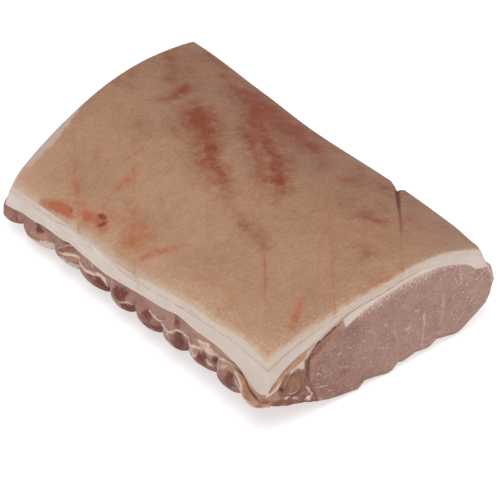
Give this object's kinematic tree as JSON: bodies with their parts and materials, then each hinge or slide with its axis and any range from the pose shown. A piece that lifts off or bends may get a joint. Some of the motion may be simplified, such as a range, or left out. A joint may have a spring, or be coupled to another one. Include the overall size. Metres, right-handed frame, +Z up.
{
  "type": "boneless pork loin roast",
  "caption": "Raw boneless pork loin joint with rind: domed cap of back fat over a large eye muscle, thinner rib-side lean with rib marks, one flat cut end.",
  "frame": {"origin": "on the table plane, under the middle of the joint's bounding box", "axes": "+X along the joint, out of the freshly cut end; +Y towards the thick back side; +Z up, rind upwards"},
  "size_m": [0.284, 0.185, 0.0659],
  "materials": {
    "rind_and_fat": null,
    "eye_lean": null,
    "rib_lean": null,
    "dried_lean": null,
    "membrane": null
  },
  "bodies": {
    "root": {"fat_cap": "rind_and_fat", "loin_eye": "eye_lean", "rib_lean": "rib_lean", "seam_nodule": "dried_lean", "corner_flap": "membrane"}
  },
  "joints": []
}
